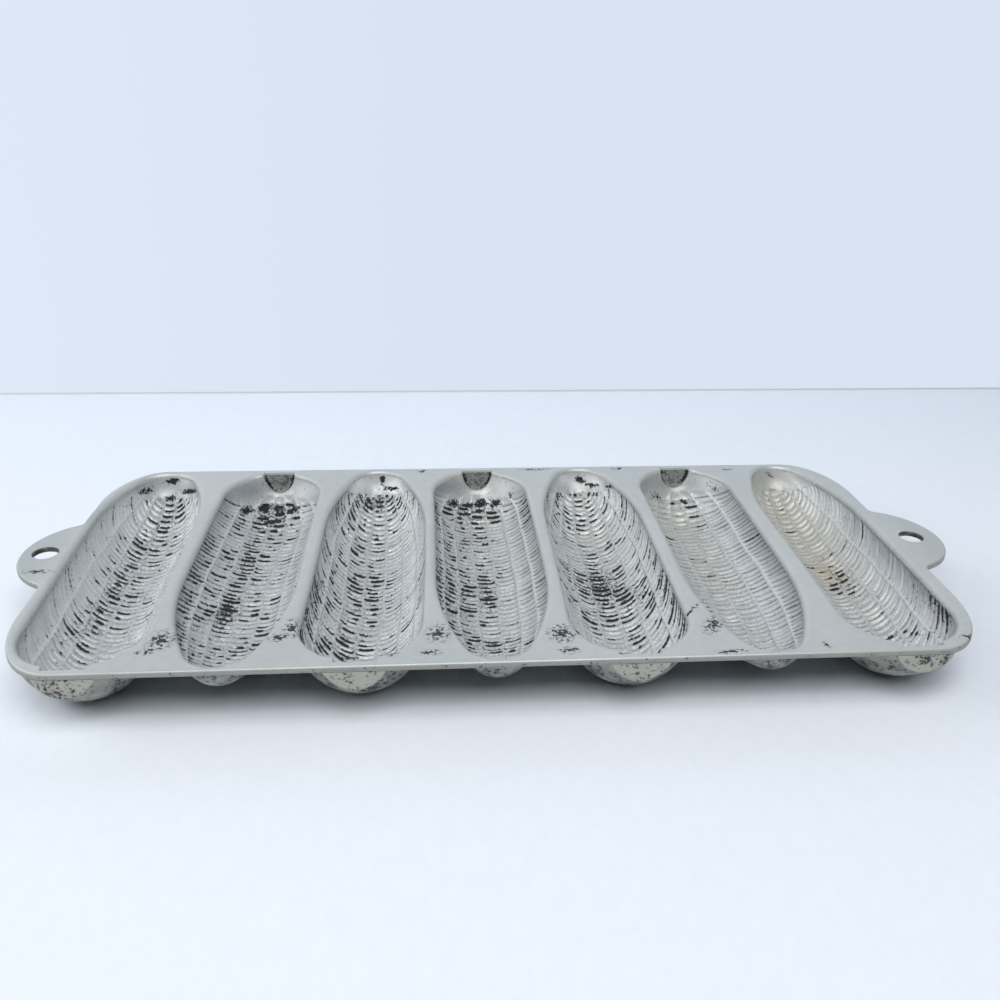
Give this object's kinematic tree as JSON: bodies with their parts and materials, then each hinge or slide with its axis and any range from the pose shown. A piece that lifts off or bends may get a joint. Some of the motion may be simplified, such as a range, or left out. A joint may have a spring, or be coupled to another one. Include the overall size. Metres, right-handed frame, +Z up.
{
  "type": "corn stick pan",
  "caption": "Shallow rectangular cast pan with a row of cob-shaped baking cups laid head to tail and a pierced ear at each end.",
  "frame": {"origin": "middle of the overall length and width, on the surface the pan stands on", "axes": "+X along the row of cups, +Y from the front rim to the back rim, +Z up out of the cups"},
  "size_m": [0.3302, 0.144, 0.0215],
  "materials": {
    "plated_casting": "worn pale grey nickel plating, dark baked-on residue between the kernels, small dark chips on the deck"
  },
  "bodies": {
    "root": {"deck_plate": "plated_casting", "left_ear": "plated_casting", "right_ear": "plated_casting", "stick_cup_1": "plated_casting", "stick_cup_2": "plated_casting", "stick_cup_3": "plated_casting", "stick_cup_4": "plated_casting", "stick_cup_5": "plated_casting", "stick_cup_6": "plated_casting", "stick_cup_7": "plated_casting", "stem_socket_1": "plated_casting", "stem_socket_2": "plated_casting", "stem_socket_3": "plated_casting", "stem_socket_4": "plated_casting", "stem_socket_5": "plated_casting", "stem_socket_6": "plated_casting", "stem_socket_7": "plated_casting"}
  },
  "joints": []
}
